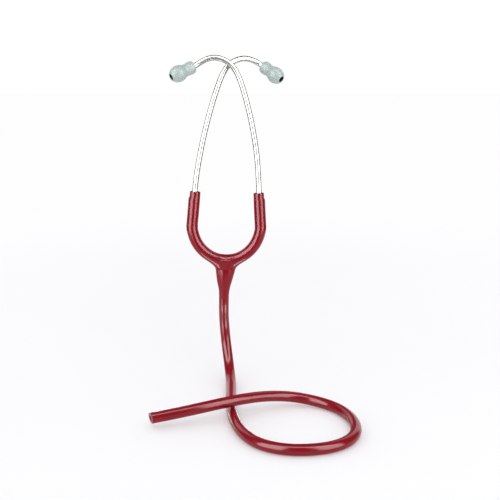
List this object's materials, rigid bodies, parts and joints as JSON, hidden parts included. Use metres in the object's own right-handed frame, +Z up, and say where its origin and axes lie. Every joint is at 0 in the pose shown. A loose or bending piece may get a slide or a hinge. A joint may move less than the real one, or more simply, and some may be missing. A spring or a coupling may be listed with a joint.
{
  "type": "stethoscope headset with tubing",
  "caption": "Binaural headset with crossed ear tubes and soft eartips on a moulded fork, with one hose curled into a loop and left open at its far end.",
  "frame": {"origin": "on the surface the part stands on, straight under the foot of the fork's stem", "axes": "+Z up, +X to the right across the headset, +Y to the back; the hose's loop lies towards -Y"},
  "size_m": [0.1711, 0.1828, 0.2975],
  "materials": {
    "tubing": "glossy soft PVC, deep burgundy",
    "ear_tube_metal": "polished",
    "spring_steel": "rolled strip",
    "plated_fitting": "nickel plated",
    "eartip_rubber": "satin grey-green silicone",
    "ring_plastic": "moulded"
  },
  "bodies": {
    "fork": {"yoke_body": "tubing", "spring_bridge": "spring_steel", "main_tube": "tubing"},
    "left_arm": {"left_arm_tube": "tubing", "left_spring_leg": "spring_steel", "left_spring_sleeve": "spring_steel"},
    "right_arm": {"right_arm_tube": "tubing", "right_spring_leg": "spring_steel", "right_spring_sleeve": "spring_steel"},
    "left_ear": {"left_ear_tube": "ear_tube_metal", "left_tip_fitting": "plated_fitting"},
    "right_ear": {"right_ear_tube": "ear_tube_metal", "right_tip_fitting": "plated_fitting"},
    "left_tip": {"left_eartip": "eartip_rubber", "left_eartip_ring": "ring_plastic"},
    "right_tip": {"right_eartip": "eartip_rubber", "right_eartip_ring": "ring_plastic"}
  },
  "joints": [
    {"name": "left_arm_spread", "type": "hinge", "parent": "fork", "child": "left_arm", "pos_m": [-0.01032, 0, 0.11751], "axis": [0, -1, 0], "range_deg": [0, 50], "stiffness_Nm_per_rad": 0.9},
    {"name": "right_arm_spread", "type": "hinge", "parent": "fork", "child": "right_arm", "pos_m": [0.01167, 0, 0.11698], "axis": [0, 1, 0], "range_deg": [0, 50], "stiffness_Nm_per_rad": 0.9},
    {"name": "left_ear_tube_swivel", "type": "hinge", "parent": "left_arm", "child": "left_ear", "pos_m": [-0.02923, 0, 0.15024], "axis": [0.0921, 0, 0.9958], "range_deg": [0, 25]},
    {"name": "right_ear_tube_swivel", "type": "hinge", "parent": "right_arm", "child": "right_ear", "pos_m": [0.03215, 0, 0.14874], "axis": [-0.0433, 0, 0.9991], "range_deg": [0, 25]},
    {"name": "left_eartip_pull", "type": "slide", "parent": "left_ear", "child": "left_tip", "axis": [0.6987, -0.515, -0.4965], "range_m": [0, 0.012]},
    {"name": "right_eartip_pull", "type": "slide", "parent": "right_ear", "child": "right_tip", "axis": [-0.8106, -0.4384, -0.3884], "range_m": [0, 0.012]}
  ]
}
